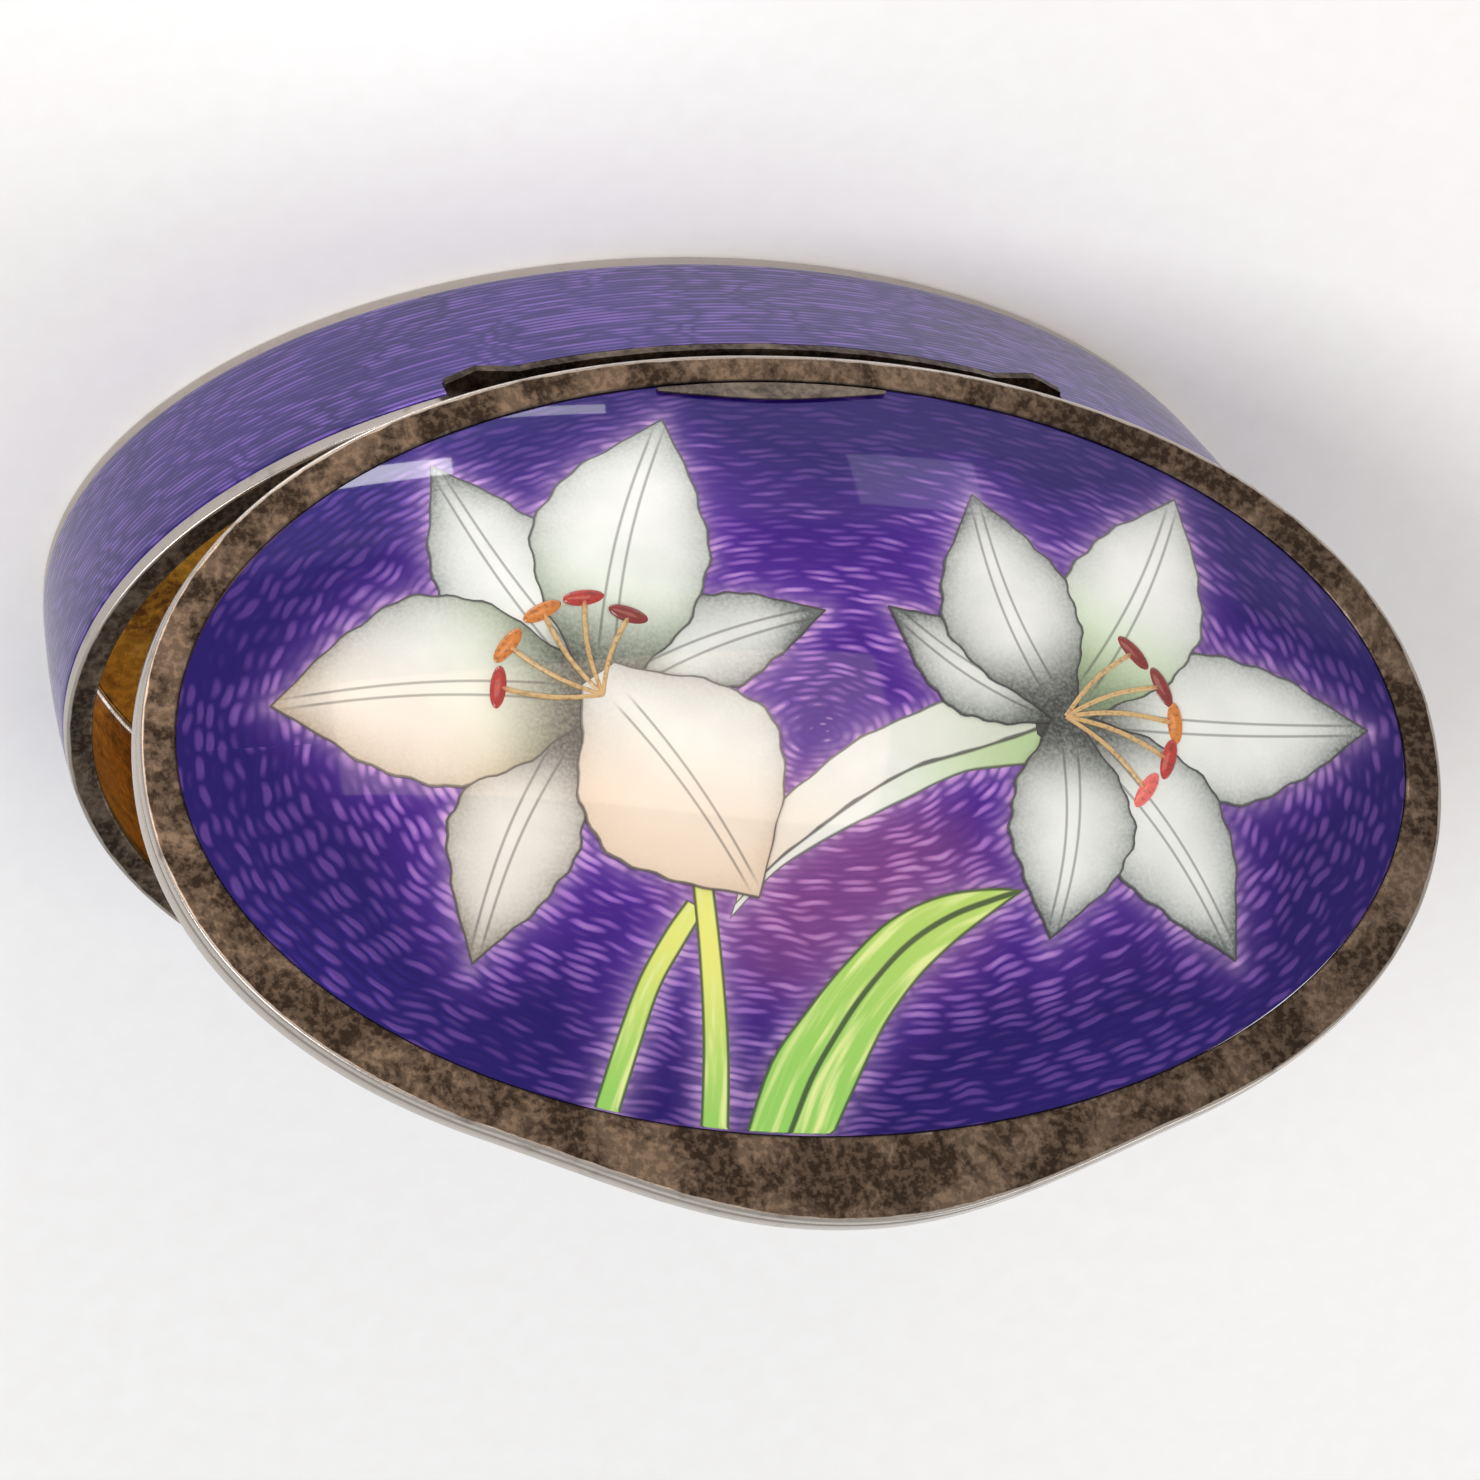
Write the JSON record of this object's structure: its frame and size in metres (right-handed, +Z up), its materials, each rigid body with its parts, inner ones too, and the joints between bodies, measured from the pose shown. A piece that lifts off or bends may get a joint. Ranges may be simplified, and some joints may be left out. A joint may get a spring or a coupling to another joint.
{
  "type": "pill box",
  "caption": "Oval silver pill box with violet engine-turned enamel, a domed lid painted with white lilies, a thumb lip and a concealed back hinge; lid ajar.",
  "frame": {"origin": "centre of the flat underside, on the surface that the box stands on", "axes": "+Z up, +X along the hinge, -Y the front with the thumb lip, +Y the back with the hinge"},
  "size_m": [0.05, 0.0304, 0.034],
  "materials": {
    "silver": "worn bright silver",
    "patinated_silver": "brown-grey tarnished silver, satin",
    "gilt_lining": "dark gilt wash over silver, satin",
    "wall_enamel": "glossy translucent violet enamel over fine engine turning",
    "lid_enamel": "glossy translucent violet enamel over engine turning, with painted flowers"
  },
  "bodies": {
    "box": {"base_plate": "silver", "base_rim": "silver", "body_wall": "gilt_lining", "wall_enamel": "wall_enamel", "mouth_rim": "patinated_silver", "hinge_bearer": "patinated_silver", "body_knuckle_left": "silver", "body_knuckle_centre": "silver", "body_knuckle_right": "silver", "hinge_pin": "silver"},
    "lid": {"lid_frame": "patinated_silver", "lid_seat_band": "silver", "lid_plate": "gilt_lining", "lid_enamel": "lid_enamel", "lid_hinge_leaf": "patinated_silver", "lid_knuckle_left": "silver", "lid_knuckle_right": "silver"}
  },
  "joints": [
    {"name": "lid_hinge", "type": "hinge", "parent": "box", "child": "lid", "pos_m": [0, 0.01294, 0.01047], "axis": [-1, 0, 0], "range_deg": [-48, 10]}
  ]
}
